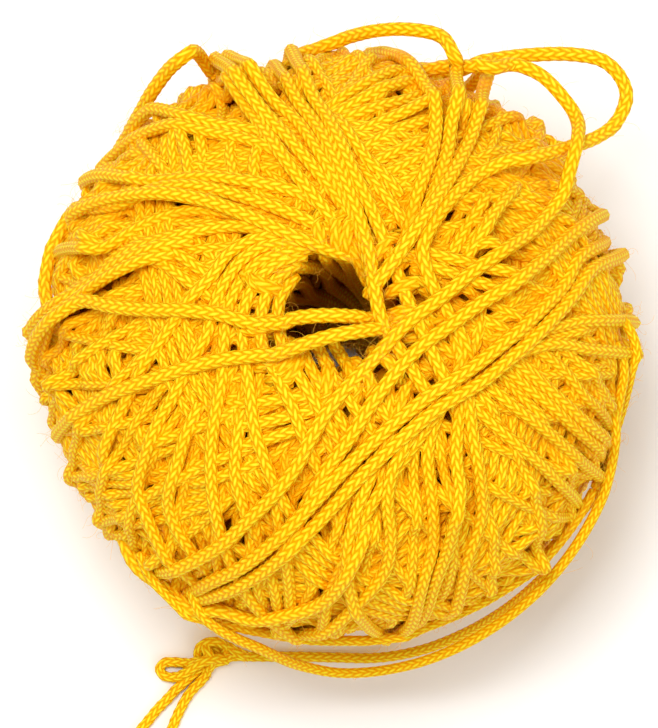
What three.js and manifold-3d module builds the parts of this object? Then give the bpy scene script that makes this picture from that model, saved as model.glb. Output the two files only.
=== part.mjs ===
// A hollow ball of wound cotton cord, standing on the flat spot round the lower end of its hole.
// Three.js example: the default export is a group with one named mesh for each piece.
// Millimetres, +Z up, origin on the surface under the middle of the ball.
import * as THREE from 'three';
import { mergeVertices } from 'three/addons/utils/BufferGeometryUtils.js';
import Module from 'manifold-3d';

const wasm = await Module();
wasm.setup();

// Driving dimensions
const ballWidth = 74.4;
const ballHeight = 70;
const holeWidth = 11.8;
const flatSpotWidth = 21;
const cordWidth = 1.9;
const tieWidth = 1.3;
const shoulderAngle = 72;
const mouthSag = 0.5;

// The routes of the outer strands are read from above, along a line of sight that leans this
// many degrees from the vertical towards the front. x runs to the right and y to the back.
const sightLean = 8;

// Fineness of the faceted surfaces
const facetsRound = 36;
const outerSteps = 22;
const rimSteps = 7;
const footSteps = 2;
const fusedSides = 6;
const cordSides = 8;
const cordStep = 3 * cordWidth;
const slackStep = 2 * cordWidth;
const tieStep = 2.5 * tieWidth;
const sideTurnPlaces = 17;

const halfWidth = ballWidth / 2;
const halfHeight = ballHeight / 2;
const holeRadius = holeWidth / 2;
const cordRadius = cordWidth / 2;
const tieRadius = tieWidth / 2;
const flatAngle = Math.acos(flatSpotWidth / ballWidth);
const centreHeight = halfHeight * Math.sin(flatAngle);

const lean = THREE.MathUtils.degToRad(sightLean);
const pictureUp = new THREE.Vector3(0, Math.cos(lean), Math.sin(lean));
const pictureNear = new THREE.Vector3(0, -Math.sin(lean), Math.cos(lean));

// Low lobes of the wound form: how many go round, how far they lean round for each millimetre
// of height, where they start, and how far they stand out. Angles in radians.
const lobes = [
  { count: 7, turnPerHeight: 0, start: 0.6, height: 0.35 },
  { count: 4, turnPerHeight: -0.09, start: 0, height: 0.35 },
];

// Strands that show on the top of the ball, each as [x, y] places along it. Both ends dive
// between the other strands, but for a first end that a slack turn runs into.
const topStrands = [
  { name: 'steep outer',
    route: [[-7.6, 38.5], [-4.8, 31.5], [-1.3, 24], [2.3, 18], [4.6, 13], [6.4, 6], [7.2, 0],
      [7.6, -4.5]] },
  { name: 'steep inner',
    route: [[-4.4, 38.8], [-1.9, 30.6], [1.3, 23], [5, 15.6], [8.2, 7], [10.3, 0.5],
      [11.2, -5]] },
  { name: 'over the left shoulder',
    route: [[-23, 31.5], [-20, 35], [-16.4, 36.4], [-11.8, 30.4], [-7, 24], [-3.6, 18.8],
      [1.2, 12.8], [4.6, 8.6]] },
  { name: 'left upper',
    route: [[-36.6, 16.4], [-30.3, 18.1], [-18.6, 19.6], [-11.8, 17.6], [-5.9, 14.1], [-0.1, 11.5],
      [4.5, 9.3]] },
  { name: 'right long outer', fromSlackTurn: true,
    route: [[16.1, 8.3], [10.4, 3.1], [4.5, -1.5], [-0.1, -7.4], [-3.6, -13.1], [-7, -18.4],
      [-12.9, -24.3], [-24.5, -29.4]] },
  { name: 'right long inner',
    route: [[33, 15], [24.9, 10.6], [16.1, 4.9], [10.4, -0.4], [4.5, -6.8], [-0.1, -12.6],
      [-4.8, -19.5], [-9.4, -25.4]] },
  { name: 'right pair, upper',
    route: [[30.6, 10.5], [23.8, 3.5], [16.8, -2.3], [10.4, -7], [4.5, -12.1], [-1.3, -17.4],
      [-9.4, -24.9], [-18.6, -31.4]] },
  { name: 'right pair, lower',
    route: [[31.6, 8.6], [24.8, 1.6], [17.8, -4.2], [11.4, -8.9], [5.5, -14], [-0.3, -19.3],
      [-8.4, -26.8], [-17.6, -33.3]] },
  { name: 'back right', fromSlackTurn: true,
    route: [[15, 35.6], [14.2, 30], [13.9, 25.8], [12.3, 18.1], [10.6, 10.6], [11.2, 4]] },
  { name: 'lower right',
    route: [[16.8, -5.6], [22, -9.1], [26.6, -14.9], [31.3, -18.4]] },
  { name: 'front right',
    route: [[15.6, -6.3], [15, -12], [16.1, -17.8], [13.9, -26.5], [12, -33]] },
  { name: 'front left',
    route: [[-12, 1], [-13.5, -2.8], [-14.6, -9.1], [-14.6, -14.9], [-14, -23.6], [-12, -31]] },
  { name: 'round the front edge',
    route: [[-23, -29.5], [-16.9, -33.8], [-9.9, -35], [-4, -34.8], [-0.6, -33.2], [3, -30]] },
];

// Strands that cross the mouth of the hole, held up by its rim on both sides.
const mouthStrands = [
  { name: 'across the mouth, back',
    route: [[-31.4, 5.4], [-22.8, 4.3], [-14, 2.5], [-7, 1.9], [-1.3, 3.4], [4, 3.4], [9.5, 3.4]] },
  { name: 'across the mouth, front',
    route: [[-28.5, -6.3], [-22.8, -3.3], [-14, -1.9], [-5.9, -1], [1.1, 1], [5.8, 1.9], [10.5, 2.8]] },
];

// Slack turns that stand off the ball, as [x, y, height above the surface]. Their ends go into it.
const slackTurns = [
  { name: 'outer loop at the right',
    route: [[16, 35, 36], [18.4, 34.8, 38], [21.9, 35.9, 39], [25.4, 36.3, 40], [29.6, 36.2, 41],
      [33.5, 35.4, 42], [35.8, 33, 42.5], [36.2, 30.6, 43], [34.6, 27.4, 44], [31.8, 25.1, 45],
      [27.6, 23.9, 47.5], [23, 22.8, 54], [19.5, 21.7, 57.5], [16.6, 20.8, 60], [14.3, 18.1, 61.5]] },
  { name: 'inner loop at the right',
    route: [[19, 33, 42], [21, 33.5, 44], [23, 34.5, 45], [25.4, 33.6, 46], [27.6, 31.5, 46.5],
      [29.4, 29.1, 46.5], [29.3, 26.5, 47], [28.5, 24.5, 48], [27.4, 21.6, 51], [26.4, 17, 55],
      [23, 12.6, 59.5], [19, 10, 63], [15, 7.6, 65.5]] },
  { name: 'loop at the back',
    route: [[0, 36.5, 36], [2.2, 38.4, 38], [5, 39.2, 41], [9.4, 39.3, 43], [13.1, 38.5, 44],
      [15.1, 36.2, 45.5], [14.9, 33.5, 48]] },
  { name: 'turn round the waist',
    route: [[34.5, -7, 34], [35.8, -12, 33], [31.8, -20.7, 33], [27.6, -25.8, 32], [19.5, -32.6, 31],
      [13.1, -35.8, 30], [7.9, -37.3, 30], [-0.6, -38.2, 30], [-9.9, -38, 30], [-13.8, -36.4, 31],
      [-20.4, -32.4, 32], [-27.2, -26.6, 33], [-32.8, -18, 34], [-33, -13, 34]] },
];

// The tie: its knot, the small loop beside it, the cord that leads to it from the ball and its
// two free ends, [x, y, height].
const knotPlace = [-15.6, -39.5, 1.43];
const knotSize = { length: 4, width: 3.1, height: 2.8 };
const knotLoop = [[-16.4, -40, 0.9], [-18.8, -40.7, 0.68], [-20.5, -40.5, 0.68], [-21.9, -40.7, 0.68],
  [-22.3, -41.4, 0.68], [-21.5, -42.1, 0.68], [-20.3, -42.3, 0.68], [-19.1, -42, 0.68],
  [-18.1, -41.3, 0.8], [-16.8, -40.3, 1]];
const looseCords = [
  { name: 'tie_lead',
    route: [[26.2, -29, 26.5], [23.6, -31.6, 21], [20.5, -34.1, 15], [16.4, -36.6, 9], [11.2, -38.8, 4.2],
      [5.6, -39.9, 1.6], [0, -39.9, 0.8], [-4.6, -39.8, 0.68], [-9, -39.8, 0.8], [-13.2, -39.7, 1.3]] },
  { name: 'tie_end_left',
    route: [[-20.6, -44.3, 0.68], [-21.6, -45.4, 0.68], [-22.6, -46.4, 0.68], [-23.5, -47.5, 0.68],
      [-25, -49.3, 0.68], [-27.4, -51.8, 0.68], [-30.4, -54.2, 0.68], [-34, -56.2, 0.68],
      [-38, -57.5, 0.68], [-42, -58, 0.68], [-45.6, -57.6, 0.68], [-48.8, -56.4, 0.68]] },
  { name: 'tie_end_right',
    route: [[-16.5, -42.2, 0.68], [-17.3, -43.1, 0.68], [-18.2, -44, 0.68], [-19, -45.1, 0.68],
      [-19.7, -46.4, 0.68], [-20.4, -47.9, 0.68], [-21.4, -50.6, 0.68], [-22.2, -53.6, 0.68],
      [-23.3, -57, 0.68], [-25.2, -60.3, 0.68], [-28, -63.3, 0.68], [-31.4, -65.6, 0.68],
      [-35, -67, 0.68]] },
];

// Turns round the sides and underside, in degrees: how far their planes lean, the arc that
// they leave free at the top, and the heading of the first one.
const sideTurns = { count: 5, leanLeast: 17, leanStep: 3, topGap: 96, firstTurn: 32 };

const cotton = new THREE.MeshStandardMaterial({ color: 0xf6b400, roughness: 0.55, metalness: 0 });
const cottonTie = new THREE.MeshStandardMaterial({ color: 0xeaa800, roughness: 0.6, metalness: 0 });

// A closed geometry as a manifold solid.
function solid(geometry) {
  const bare = geometry.clone();
  bare.deleteAttribute('normal');
  bare.deleteAttribute('uv');
  const merged = mergeVertices(bare, 1e-4);
  return new wasm.Manifold(new wasm.Mesh({
    numProp: 3,
    vertProperties: merged.attributes.position.array,
    triVerts: new Uint32Array(merged.index.array),
  }));
}

// The joined solid as a geometry again.
function geometryOf(joined) {
  const mesh = joined.getMesh();
  const geometry = new THREE.BufferGeometry();
  geometry.setAttribute('position', new THREE.BufferAttribute(mesh.vertProperties, 3));
  geometry.setIndex(new THREE.BufferAttribute(mesh.triVerts, 1));
  return geometry;
}

// How far the lobes stand out at an angle round the axis and a height, most at the waist.
function lobeReach(angle, height) {
  const waist = Math.cos((height - centreHeight) / halfHeight);
  let reach = 0;
  for (const lobe of lobes) {
    reach += lobe.height * Math.cos(lobe.count * angle + lobe.turnPerHeight * height + lobe.start);
  }
  return waist * reach;
}

// Points along part of an oval.
function arc(x, y, reachX, reachY, from, to, steps) {
  return new THREE.EllipseCurve(x, y, reachX, reachY, from, to).getPoints(steps);
}

// The wound form without its strands: half of an oval that turns in round the hole's mouth,
// runs down the hole and out again over the flat spot, carried round the axis.
function ballForm() {
  const shoulder = THREE.MathUtils.degToRad(shoulderAngle);
  const slope = Math.atan2(halfHeight * Math.cos(shoulder), halfWidth * Math.sin(shoulder));
  const rimStart = Math.PI / 2 - slope;
  const rimRadius = (halfWidth * Math.cos(shoulder) - holeRadius) / (1 + Math.cos(rimStart));
  const rimHeight = centreHeight + halfHeight * Math.sin(shoulder) - rimRadius * Math.sin(rimStart);
  const footRadius = rimRadius / 3;
  const outer = arc(0, centreHeight, halfWidth, halfHeight, -flatAngle, shoulder, outerSteps);
  const rim = arc(holeRadius + rimRadius, rimHeight, rimRadius, rimRadius, rimStart, Math.PI, rimSteps);
  const foot = arc(holeRadius + footRadius, footRadius, footRadius, footRadius, Math.PI, 1.5 * Math.PI,
    footSteps);
  for (const low of [outer[0], foot[footSteps]]) low.y = 0;
  const points = [...outer, ...rim.slice(1), ...foot, outer[0]];
  const form = new THREE.LatheGeometry(points, facetsRound);
  const place = form.attributes.position;
  for (let i = 0; i < place.count; i++) {
    const [x, y, z] = [place.getX(i), place.getY(i), place.getZ(i)];
    const reach = Math.hypot(x, z);
    const share = THREE.MathUtils.smoothstep(reach, flatSpotWidth / 2, halfWidth * 0.8);
    const grown = 1 + share * lobeReach(Math.atan2(-z, x), y) / reach;
    place.setXYZ(i, x * grown, y, z * grown);
  }
  return solid(form.rotateX(Math.PI / 2));
}

// A place in the picture plane at a stated height above the surface.
function atHeight([x, y, height]) {
  const above = height - centreHeight;
  return new THREE.Vector3(x, (y - above * Math.sin(lean)) / Math.cos(lean), height);
}

// A place in the picture plane carried along the line of sight to the ball, then lifted.
function onBall([x, y], lift) {
  const [a, b] = [1 / halfWidth ** 2, 1 / halfHeight ** 2];
  const [s, c] = [Math.sin(lean), Math.cos(lean)];
  const square = a * s * s + b * c * c;
  const half = y * s * c * (b - a);
  const rest = a * (x * x + y * y * c * c) + b * y * y * s * s - 1;
  const along = (Math.sqrt(Math.max(0, half * half - square * rest)) - half) / square;
  const place = new THREE.Vector3(x, 0, 0);
  place.addScaledVector(pictureUp, y).addScaledVector(pictureNear, along);
  return liftedTo(place, lift);
}

// A direction from the middle of the ball, carried to the ball's surface and lifted.
function liftedTo(direction, lift) {
  const { x, y, z } = direction;
  const grow = 1 / Math.sqrt((x * x + y * y) / halfWidth ** 2 + (z * z) / halfHeight ** 2);
  const place = direction.clone().multiplyScalar(grow);
  place.addScaledVector(place.clone().normalize(), lift);
  place.z += centreHeight;
  return place;
}

// A round cord along a smooth curve, with closed ends.
function cord(places, radius, sides, step, name) {
  const curve = new THREE.CatmullRomCurve3(places, false, 'centripetal');
  const section = new THREE.Shape();
  for (let i = 0; i < sides; i++) {
    const angle = (2 * Math.PI * i) / sides;
    const [x, y] = [radius * Math.cos(angle), radius * Math.sin(angle)];
    if (i === 0) section.moveTo(x, y);
    else section.lineTo(x, y);
  }
  const steps = Math.max(2, Math.round(curve.getLength() / step));
  const geometry = new THREE.ExtrudeGeometry(section, { steps, extrudePath: curve });
  geometry.name = name;
  return geometry;
}

// A strand that lies half sunk on the ball; its diving ends go down into it.
function topStrand({ name, fromSlackTurn, route }) {
  const places = route.map((place, i) => {
    const dives = i === route.length - 1 || (i === 0 && !fromSlackTurn);
    return onBall(place, dives ? -cordWidth : 0);
  });
  return solid(cord(places, cordRadius, fusedSides, cordStep, name));
}

// A strand across the hole's mouth, which sags a little between the two sides of the rim.
function mouthStrand({ name, route }) {
  const places = route.map(([x, y], i) => {
    const ends = i === 0 || i === route.length - 1;
    const place = onBall([x, y], ends ? -cordWidth : cordRadius);
    const overHole = Math.hypot(place.x, place.y) < holeRadius;
    if (overHole) place.z -= mouthSag;
    return place;
  });
  return solid(cord(places, cordRadius, fusedSides, cordStep, name));
}

// A slack turn, which keeps clear of the ball between its ends.
function slackTurn({ name, route }) {
  return solid(cord(route.map(atHeight), cordRadius, fusedSides, slackStep, name));
}

// A turn round one side, under the ball and up the other side, in a plane through the middle
// that leans from the vertical. It starts and ends inside the ball below the top strands.
function sideTurn(index) {
  const { count, leanLeast, leanStep, topGap, firstTurn } = sideTurns;
  const heading = THREE.MathUtils.degToRad(firstTurn + (360 * index) / count);
  const tilt = THREE.MathUtils.degToRad(leanLeast + leanStep * (index % 3));
  const level = new THREE.Vector3(Math.cos(heading), Math.sin(heading), 0);
  const across = new THREE.Vector3(-Math.sin(heading), Math.cos(heading), 0);
  const upward = across.multiplyScalar(Math.sin(tilt)).add(new THREE.Vector3(0, 0, Math.cos(tilt)));
  const start = THREE.MathUtils.degToRad(90 + topGap / 2);
  const sweep = THREE.MathUtils.degToRad(360 - topGap);
  const places = [];
  const last = sideTurnPlaces - 1;
  for (let i = 0; i <= last; i++) {
    const angle = start + (sweep * i) / last;
    const way = level.clone().multiplyScalar(Math.cos(angle)).addScaledVector(upward, Math.sin(angle));
    places.push(liftedTo(way, i === 0 || i === last ? -cordWidth : 0));
  }
  return solid(cord(places, cordRadius, fusedSides, cordStep, 'side turn'));
}

// The whole winding: form, strands and slack turns joined, and cut flat where it stands.
function woundBall() {
  const pieces = [
    ...topStrands.map(topStrand),
    ...mouthStrands.map(mouthStrand),
    ...slackTurns.map(slackTurn),
  ];
  for (let i = 0; i < sideTurns.count; i++) pieces.push(sideTurn(i));
  const joined = pieces.reduce((whole, piece) => whole.add(piece), ballForm());
  const below = new THREE.BoxGeometry(2 * ballWidth, 2 * ballWidth, ballWidth);
  below.translate(0, 0, -ballWidth / 2);
  return new THREE.Mesh(geometryOf(joined.subtract(solid(below))), cotton);
}

// The knot: a small lump of crossed cord with a loop standing out to the left of it.
function tieKnot() {
  const middle = atHeight(knotPlace);
  const lump = new THREE.SphereGeometry(0.5, 12, 8);
  lump.scale(knotSize.length, knotSize.width, knotSize.height);
  lump.translate(middle.x, middle.y, middle.z);
  const loop = cord(knotLoop.map(atHeight), tieRadius, fusedSides, tieWidth, 'knot loop');
  return new THREE.Mesh(geometryOf(solid(lump).add(solid(loop))), cottonTie);
}

// A loose cord of the tie: it comes down from the ball, or lies on the surface.
function looseCord({ name, route }) {
  return new THREE.Mesh(cord(route.map(atHeight), tieRadius, cordSides, tieStep, name), cottonTie);
}

const group = new THREE.Group();

function add(mesh, name) {
  mesh.name = name;
  group.add(mesh);
}

add(woundBall(), 'wound_ball');
add(tieKnot(), 'tie_knot');
for (const loose of looseCords) add(looseCord(loose), loose.name);

export default group;
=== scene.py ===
import math

import bpy
import numpy as np
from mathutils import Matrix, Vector


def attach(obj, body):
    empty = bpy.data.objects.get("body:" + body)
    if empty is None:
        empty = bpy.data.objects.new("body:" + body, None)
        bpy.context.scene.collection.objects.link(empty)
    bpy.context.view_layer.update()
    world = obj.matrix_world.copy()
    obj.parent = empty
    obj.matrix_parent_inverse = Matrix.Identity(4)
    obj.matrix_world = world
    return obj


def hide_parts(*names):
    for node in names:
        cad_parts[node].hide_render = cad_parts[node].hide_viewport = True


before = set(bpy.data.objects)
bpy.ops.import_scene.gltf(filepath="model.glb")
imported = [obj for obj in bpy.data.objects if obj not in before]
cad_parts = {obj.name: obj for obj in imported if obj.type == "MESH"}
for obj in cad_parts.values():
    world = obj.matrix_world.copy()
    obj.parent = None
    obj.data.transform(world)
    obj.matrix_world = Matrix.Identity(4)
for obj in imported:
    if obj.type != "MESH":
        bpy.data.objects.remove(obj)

# A hollow ball of plaited cotton cord. Shapes are worked out in millimetres and put into the
# meshes in metres; angles are in degrees where a name says so.
MM = 0.001
HALF_WIDTH, HALF_HEIGHT = 37.2, 35.0
FLAT_RADIUS = 10.5
HOLE_RADIUS = 5.9
SHOULDER = math.radians(72)
CORD_RADIUS, UNDER_RADIUS, TURN_RADIUS, TIE_RADIUS = 0.9, 0.84, 0.75, 0.65
CENTRE_HEIGHT = HALF_HEIGHT * math.sin(math.acos(FLAT_RADIUS / HALF_WIDTH))
CENTRE = np.array([0.0, 0.0, CENTRE_HEIGHT])

# The line of sight leans this far from the vertical towards the front, and 8 pixels of the
# picture are 1 mm at the ball's middle, which shows at the pixel given.
SIGHT_LEAN = math.radians(8)
PICTURE_UP = np.array([0.0, math.cos(SIGHT_LEAN), math.sin(SIGHT_LEAN)])
PICTURE_NEAR = np.array([0.0, -math.sin(SIGHT_LEAN), math.cos(SIGHT_LEAN)])
CAMERA_REACH = 1200.0
IMAGE_SIZE = (658, 728)
PIXELS_PER_MM = 8.0
BALL_PIXEL = (335, 345)

# The plait: one repeat along the cord, the number of its strands round the cord, and how far
# they stand out, on the ball's cord and on the thinner tie.
COLUMNS = 8
PITCH, RELIEF = 1.42, 0.05
TIE_PITCH, TIE_RELIEF = 1.2, 0.045

# A cord's end closes on a point this many radii on. On the strips' map it takes up less, and
# strands, rows and cords there are this far apart.
TIP_LENGTH, TIP_ON_MAP = 0.4, 0.3
STRIP_SCALE, STRIP_GAP, ROW_GAP, SPARE_WIDTH = 0.62, 0.3, 0.4, 1.02

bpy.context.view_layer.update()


def unit(vectors):
    """Vectors scaled to length one."""
    return vectors / np.linalg.norm(vectors, axis=-1, keepdims=True)


def add_camera():
    """A long lens that looks down the line of sight and frames the picture."""
    data = bpy.data.cameras.new("camera")
    sensor, width = 36.0, IMAGE_SIZE[0] / PIXELS_PER_MM
    data.sensor_fit, data.sensor_width = "HORIZONTAL", sensor
    data.lens = sensor * CAMERA_REACH / width
    data.clip_start, data.clip_end = 0.05, 10
    camera = bpy.data.objects.new("camera", data)
    right = (IMAGE_SIZE[0] / 2 - BALL_PIXEL[0]) / PIXELS_PER_MM
    up = (BALL_PIXEL[1] - IMAGE_SIZE[1] / 2) / PIXELS_PER_MM
    place = CENTRE + np.array([right, 0, 0]) + up * PICTURE_UP + CAMERA_REACH * PICTURE_NEAR
    camera.location = place * MM
    camera.rotation_euler = (SIGHT_LEAN, 0, 0)
    bpy.context.scene.collection.objects.link(camera)
    bpy.context.scene.camera = camera


add_camera()


def from_pixels(places):
    """Places [across, down] in pixels of the picture as [x, y] in mm from the ball's middle."""
    across, down = np.array([place[:2] for place in places], float).T
    return np.stack([across - BALL_PIXEL[0], BALL_PIXEL[1] - down], axis=1) / PIXELS_PER_MM


def at_height(places):
    """Places in the picture plane, [x, y, height], in space: x stays, and y is moved back by the
    height above the ball's middle times the sine of the lean, and divided by its cosine."""
    x, y, height = np.asarray(places, float).T
    y = (y - (height - CENTRE_HEIGHT) * math.sin(SIGHT_LEAN)) / math.cos(SIGHT_LEAN)
    return np.stack([x, y, height], axis=1)


def on_ball(places):
    """Places in the picture plane, [x, y], carried along the line of sight to the ball's oval:
    the nearer root of the quadratic for the sight line meeting the oval."""
    x, y = np.asarray(places, float).T
    a, b = 1 / (HALF_WIDTH + CORD_RADIUS) ** 2, 1 / (HALF_HEIGHT + CORD_RADIUS) ** 2
    s, c = math.sin(SIGHT_LEAN), math.cos(SIGHT_LEAN)
    square = a * s * s + b * c * c
    half = y * s * c * (b - a)
    rest = a * (x * x + y * y * c * c) + b * y * y * s * s - 1
    along = (np.sqrt(np.maximum(0, half * half - square * rest)) - half) / square
    level = np.stack([x, 0 * x, 0 * x], axis=1)
    return CENTRE + level + y[:, None] * PICTURE_UP + along[:, None] * PICTURE_NEAR


def lengths_along(curve):
    """The length from the start of a curve to each of its points."""
    return np.concatenate([[0], np.cumsum(np.linalg.norm(np.diff(curve[:, :3], axis=0), axis=1))])


def at_even_steps(curve, step):
    """Points along a curve at equal lengths, as near the step as goes into it. Columns past the
    third are carried along."""
    along = lengths_along(curve)
    wanted = np.linspace(0, along[-1], max(3, round(along[-1] / step) + 1))
    return np.stack([np.interp(wanted, along, column) for column in curve.T], axis=1)


def through(points, step):
    """A smooth curve through the points at even steps. Each piece is the cubic that has the
    slopes of its two ends, and the parameter grows with the square root of the chords."""
    points = np.asarray(points, float)
    chords = np.linalg.norm(np.diff(points, axis=0), axis=1)
    knots = np.concatenate([[0], np.cumsum(np.sqrt(chords))])
    slopes = np.gradient(points, knots, axis=0)
    fine = np.linspace(0, knots[-1], 40 * len(points))
    piece = np.clip(np.searchsorted(knots, fine, "right") - 1, 0, len(chords) - 1)
    width = knots[piece + 1] - knots[piece]
    t = ((fine - knots[piece]) / width)[:, None]
    rise = width[:, None]
    curve = (
        (2 * t**3 - 3 * t**2 + 1) * points[piece]
        + (t**3 - 2 * t**2 + t) * rise * slopes[piece]
        + (3 * t**2 - 2 * t**3) * points[piece + 1]
        + (t**3 - t**2) * rise * slopes[piece + 1]
    )
    return at_even_steps(curve, step)


class Tubes:
    """Round cords gathered into one mesh. A cord is a circle carried along its centreline, with
    the plait's relief on it; each end closes on a point."""

    def __init__(self):
        self.points, self.quads, self.tips = [], [], []
        self.quad_maps, self.tip_maps = [], []
        self.depths, self.strips = [], []
        self.count = 0

    def add(self, line, radius, up, depth=0.0, sides=COLUMNS, phase=0.0, roll=0.0, pitch=PITCH,
            relief=RELIEF):
        """Adds a cord: its radius is radius + relief cos(pi v) cos(2 pi u), where u counts the
        repeats along it and v the plait's strands round it. Phase and roll move the plait along
        it and round it, up is its outer side, and depth, how deep the cord lies, is kept for the
        painted shade in its colour."""
        rings = len(line)
        tangent = unit(np.gradient(line, axis=0))
        across = unit(np.cross(tangent, np.broadcast_to(up, line.shape)))
        outward = np.cross(across, tangent)
        u = lengths_along(line) / pitch + phase
        v = np.arange(sides) * COLUMNS / sides
        grain = np.cos(2 * np.pi * u)[:, None] * np.cos(np.pi * v)[None, :]
        size = radius + relief * grain
        angle = 2 * np.pi * (v + roll) / COLUMNS
        circle = (
            np.cos(angle)[None, :, None] * outward[:, None, :]
            + np.sin(angle)[None, :, None] * across[:, None, :]
        )
        skin = line[:, None, :] + size[..., None] * circle
        skin[..., 2] = np.maximum(skin[..., 2], 0.0)
        onward = np.array([-1, 1])[:, None] * tangent[[0, -1]]
        tips = line[[0, -1]] + onward * radius * TIP_LENGTH
        tips[:, 2] = np.maximum(tips[:, 2], 0.0)
        self.points += [skin.reshape(-1, 3), tips]
        i, j = np.meshgrid(np.arange(rings - 1), np.arange(sides), indexing="ij")
        k = (j + 1) % sides
        corner = [i * sides + j, i * sides + k, (i + 1) * sides + k, (i + 1) * sides + j]
        self.quads.append(self.count + np.stack(corner, axis=-1).reshape(-1, 4))
        v_step = COLUMNS / sides
        u_corner = np.stack([u[i], u[i], u[i + 1], u[i + 1]], axis=-1)
        v_corner = np.stack([j, j + 1, j + 1, j], axis=-1) * v_step
        self.quad_maps.append(np.stack([u_corner, v_corner], axis=-1).reshape(-1, 2))
        j = np.arange(sides)
        k = (j + 1) % sides
        first_tip = rings * sides
        far = (rings - 1) * sides
        near_faces = np.stack([k, j, 0 * j + first_tip], axis=-1)
        far_faces = np.stack([far + j, far + k, 0 * j + first_tip + 1], axis=-1)
        self.tips.append(self.count + np.concatenate([near_faces, far_faces]))
        end = TIP_ON_MAP * radius / pitch
        near_map = np.stack([np.stack([0 * j + u[0]] * 2 + [0 * j + u[0] - end], -1),
                             np.stack([j + 1, j, j + 0.5], -1) * v_step], -1)
        far_map = np.stack([np.stack([0 * j + u[-1]] * 2 + [0 * j + u[-1] + end], -1),
                            np.stack([j, j + 1, j + 0.5], -1) * v_step], -1)
        self.tip_maps.append(np.concatenate([near_map, far_map]).reshape(-1, 2))
        # How deep the cord lies, kept for the painted shade in its colour.
        shade_share = np.broadcast_to(depth, (rings,))
        self.depths += [np.repeat(shade_share, sides), shade_share[[0, -1]]]
        self.strips.append((u[0] - end, u[-1] + end))
        self.count += rings * sides + 2

    def strip_maps(self):
        """Each cord's map moved to a strip of its own: rows of one height, filled from the
        longest cord to the shortest, and the whole scaled into the unit square."""
        spans = np.array([last - first for first, last in self.strips]) + STRIP_GAP
        row_height = COLUMNS * STRIP_SCALE + ROW_GAP
        width = max(spans.max(), math.sqrt(spans.sum() * row_height) * SPARE_WIDTH)
        rows, place = [], {}
        for number in np.argsort(-spans):
            row = next((r for r, used in enumerate(rows) if used + spans[number] <= width), None)
            if row is None:
                rows.append(0.0)
                row = len(rows) - 1
            place[number] = (rows[row], row)
            rows[row] += spans[number]
        scale = 1 / max(width, len(rows) * row_height)
        quads, tips = [], []
        for number, (first, _) in enumerate(self.strips):
            start, row = place[number]
            for maps, moved in ((self.quad_maps, quads), (self.tip_maps, tips)):
                u, v = maps[number].T
                v = v * STRIP_SCALE + row * row_height
                moved.append(np.stack([u - first + start, v], 1) * scale)
        return np.concatenate(quads + tips)

    def mesh(self, name):
        """The gathered cords as one object, with the plait's map and the strips' map."""
        points = np.concatenate(self.points) * MM
        quads, tips = np.concatenate(self.quads), np.concatenate(self.tips)
        mesh = bpy.data.meshes.new(name)
        mesh.vertices.add(len(points))
        mesh.vertices.foreach_set("co", points.ravel())
        mesh.loops.add(quads.size + tips.size)
        mesh.loops.foreach_set("vertex_index", np.concatenate([quads.ravel(), tips.ravel()]))
        mesh.polygons.add(len(quads) + len(tips))
        starts = np.concatenate([np.arange(len(quads)) * 4, quads.size + np.arange(len(tips)) * 3])
        mesh.polygons.foreach_set("loop_start", starts)
        mesh.update(calc_edges=True)
        mesh.polygons.foreach_set("use_smooth", np.ones(len(mesh.polygons), bool))
        plait = mesh.uv_layers.new(name="plait")
        plait.uv.foreach_set("vector", np.concatenate(self.quad_maps + self.tip_maps).ravel())
        strips = mesh.uv_layers.new(name="OFBake")
        strips.uv.foreach_set("vector", self.strip_maps().ravel())
        # Each point's share of painted shade, for a darker colour where the cord lies deep.
        depth = mesh.attributes.new("depth", "FLOAT", "POINT")
        depth.data.foreach_set("value", np.concatenate(self.depths))
        mesh.validate()
        made = bpy.data.objects.new(name, mesh)
        bpy.context.scene.collection.objects.link(made)
        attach(made, "root")
        return made


# The tie, as [x, y, height]: the cord that comes down to the knot, the two free ends, and the
# knot with its loop.
TIE_CORDS = {
    "tie_lead": [
        [26.2, -29, 26.5], [23.6, -31.6, 21], [20.5, -34.1, 15], [16.4, -36.6, 9],
        [11.2, -38.8, 4.2], [5.6, -39.9, 1.6], [0, -39.9, 0.8], [-4.6, -39.8, 0.68],
        [-9, -39.8, 0.8], [-13.2, -39.7, 1.3],
    ],
    "tie_end_left": [
        [-20.6, -44.3, 0.68], [-21.6, -45.4, 0.68], [-22.6, -46.4, 0.68], [-23.5, -47.5, 0.68],
        [-25, -49.3, 0.68], [-27.4, -51.8, 0.68], [-30.4, -54.2, 0.68], [-34, -56.2, 0.68],
        [-38, -57.5, 0.68], [-42, -58, 0.68], [-45.6, -57.6, 0.68], [-48.8, -56.4, 0.68],
    ],
    "tie_end_right": [
        [-16.5, -42.2, 0.68], [-17.3, -43.1, 0.68], [-18.2, -44, 0.68], [-19, -45.1, 0.68],
        [-19.7, -46.4, 0.68], [-20.4, -47.9, 0.68], [-21.4, -50.6, 0.68], [-22.2, -53.6, 0.68],
        [-23.3, -57, 0.68], [-25.2, -60.3, 0.68], [-28, -63.3, 0.68], [-31.4, -65.6, 0.68],
        [-35, -67, 0.68],
    ],
}
UP = np.array([0.0, 0.0, 1.0])


def tie_line(places):
    """The centreline of a stretch of the tie, in steps fine enough for its plait."""
    return through(at_height(places), TIE_PITCH / 4)


def tie_piece(name, lines):
    """A piece of the tie, with enough sides for its plait to show on its outline."""
    tubes = Tubes()
    for line in lines:
        tubes.add(line, TIE_RADIUS, UP, sides=2 * COLUMNS, pitch=TIE_PITCH, relief=TIE_RELIEF)
    made = tubes.mesh(name + "_cord")
    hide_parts(name)
    return made


def tie_cord(name):
    """A loose cord of the tie, and its centreline in metres."""
    line = tie_line(TIE_CORDS[name])
    return tie_piece(name, [line]), line * MM


tie_lead, lead_line = tie_cord("tie_lead")
tie_left, left_line = tie_cord("tie_end_left")
tie_right, right_line = tie_cord("tie_end_right")


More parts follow.
